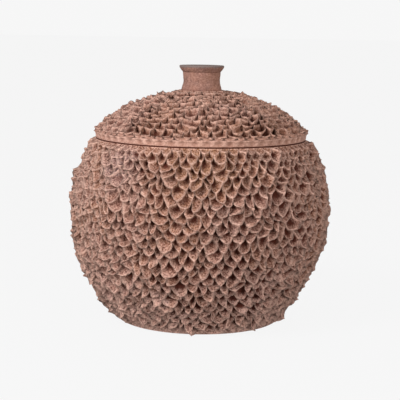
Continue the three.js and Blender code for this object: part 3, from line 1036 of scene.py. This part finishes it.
def make_knob():
    top = CROWN_HEIGHT + KNOB_HEIGHT
    neck = top - KNOB_NECK_DEPTH
    waist = [
        (KNOB_FOOT, CROWN_HEIGHT),
        ((KNOB_FOOT + 2 * KNOB_WAIST) / 3, (3 * CROWN_HEIGHT + neck) / 4),
        (KNOB_WAIST, (CROWN_HEIGHT + neck) / 2),
        (KNOB_NECK, neck),
    ]
    profile = [(r, top - drop) for r, drop in KNOB_DISH]
    profile += corner(KNOB_LIP - KNOB_EDGE, top - KNOB_EDGE, 80, -20, KNOB_EDGE, 6)
    profile += [(r, top - drop) for r, drop in KNOB_UNDER_LIP]
    profile += [tuple(point) for point in spline(waist, KNOB_SIDE_ROWS).tolist()[::-1]]
    profile += [(12.0, CROWN_HEIGHT), (0, CROWN_HEIGHT)]
    # Painted shade in the crease under the lip, on the lip's downward-facing slope and round the knob's
    # foot
    dark = ((neck, 0.9, 0.4), (top - 3.0, 2.4, 0.1), (CROWN_HEIGHT, 5.0, 0.35))
    turned("knob", profile, KNOB_SEGMENTS, knob_clay, "lid_knob", wobble=KNOB_WOBBLE, dark=dark)


make_bowl()
make_lid()
make_flange()
make_knob()

# Floor, light and camera, in metres and watts
FLOOR_REACH = 30.0
FLOOR_DROP = 0.0002  # keeps the floor's face and the bowl's sole apart
FLOOR_GLOW = 0.912
FLOOR_MATTE = 0.015  # share of the floor's colour that shows the bowl's shadow
BACKDROP = 0.925
LIGHTS = (  # name, place, aim, size, power and tint
    ("key", (-1.15, -1.15, 1.5), (0, 0, 0.14), 0.8, 58, (0.97, 0.985, 1.0)),
    ("fill", (1.0, -1.8, 0.7), (0, 0, 0.09), 0.6, 33, (1.0, 0.985, 0.97)),
    ("low", (-1.3, -1.3, 0.16), (0, 0, 0.07), 0.4, 25, (1.0, 1.0, 1.0)),
)
CAMERA_DISTANCE = 1.4
CAMERA_HEIGHT = 0.335
AIM_HEIGHT = 0.135
CAMERA_ROLL = 0.9  # degrees
CAMERA_SHIFT = 0.0005
SENSOR_WIDTH = 36  # millimetres, as the lens
PIXEL = 0.001149  # what one pixel of the photo spans at the axis
PIXELS_ACROSS = 400


def floor_paint():
    material = bpy.data.materials.new("floor_paint")
    tree = nodes_of(material)
    shine = tree.nodes.new("ShaderNodeEmission")
    shine.inputs["Color"].default_value = (FLOOR_GLOW, FLOOR_GLOW, FLOOR_GLOW, 1)
    matte = tree.nodes.new("ShaderNodeBsdfDiffuse")
    matte.inputs["Color"].default_value = (0.9, 0.9, 0.9, 1)
    both = tree.nodes.new("ShaderNodeMixShader")
    both.inputs[0].default_value = FLOOR_MATTE
    out = tree.nodes.new("ShaderNodeOutputMaterial")
    tree.links.new(shine.outputs[0], both.inputs[1])
    tree.links.new(matte.outputs[0], both.inputs[2])
    tree.links.new(both.outputs[0], out.inputs["Surface"])
    return material


floor_mesh = bpy.data.meshes.new("floor")
floor_corners = [(x * FLOOR_REACH, y * FLOOR_REACH, 0) for x, y in ((-1, -1), (1, -1), (1, 1), (-1, 1))]
floor_mesh.from_pydata(floor_corners, [], [(0, 1, 2, 3)])
floor = bpy.data.objects.new("floor", floor_mesh)
floor.location.z = -FLOOR_DROP
floor.data.materials.append(floor_paint())
bpy.context.scene.collection.objects.link(floor)

world = bpy.data.worlds.new("studio")
bpy.context.scene.world = world
world.use_nodes = True
world.node_tree.nodes["Background"].inputs["Color"].default_value = (BACKDROP, BACKDROP, BACKDROP, 1)
world.node_tree.nodes["Background"].inputs["Strength"].default_value = 1.0

for name, place, aim, size, power, tint in LIGHTS:
    light = bpy.data.lights.new(name, "AREA")
    light.shape, light.size, light.energy, light.color = "DISK", size, power, tint
    lamp = bpy.data.objects.new(name, light)
    lamp.location = place
    lamp.rotation_euler = (Vector(aim) - Vector(place)).to_track_quat("-Z", "Y").to_euler()
    bpy.context.scene.collection.objects.link(lamp)

camera_data = bpy.data.cameras.new("camera")
camera_data.sensor_width = SENSOR_WIDTH
slant = math.hypot(CAMERA_DISTANCE, CAMERA_HEIGHT - AIM_HEIGHT)
camera_data.lens = SENSOR_WIDTH * slant / PIXEL / PIXELS_ACROSS
camera_data.shift_x = CAMERA_SHIFT
camera = bpy.data.objects.new("camera", camera_data)
camera.location = (0, -CAMERA_DISTANCE, CAMERA_HEIGHT)
aimed = (Vector((0, 0, AIM_HEIGHT)) - camera.location).to_track_quat("-Z", "Y").to_matrix()
camera.rotation_euler = (aimed @ Matrix.Rotation(math.radians(CAMERA_ROLL), 3, "Z")).to_euler()
bpy.context.scene.collection.objects.link(camera)
bpy.context.scene.camera = camera
bpy.context.scene.view_settings.view_transform = "Standard"
